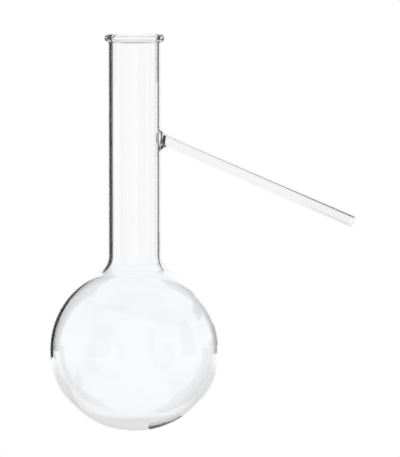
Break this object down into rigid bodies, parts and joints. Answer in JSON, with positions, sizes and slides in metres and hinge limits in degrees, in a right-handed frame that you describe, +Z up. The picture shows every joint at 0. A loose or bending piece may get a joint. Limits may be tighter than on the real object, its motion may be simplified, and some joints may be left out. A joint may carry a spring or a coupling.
{
  "type": "distilling flask with side arm",
  "caption": "Round-bulb glass distilling flask with a long straight neck, a beaded mouth and a plain side arm sloping down from the neck, for vapour to leave.",
  "frame": {"origin": "on the neck's axis, in the middle plane of the rim bead at the mouth", "axes": "+Z up out of the mouth along the neck; +X on the side that the side arm slopes down towards; the XZ plane is the flask's mirror plane"},
  "size_m": [0.1884, 0.105, 0.244],
  "materials": {
    "clear_glass": "clear borosilicate glass, blown and drawn, fire polished at the mouth and at the end of the side arm"
  },
  "bodies": {
    "root": {"bulb": "clear_glass", "shoulder": "clear_glass", "neck": "clear_glass", "rim_bead": "clear_glass", "side_arm_boss": "clear_glass", "side_arm_seal_ring": "clear_glass", "side_arm_tube": "clear_glass", "side_arm_lip": "clear_glass"}
  },
  "joints": []
}
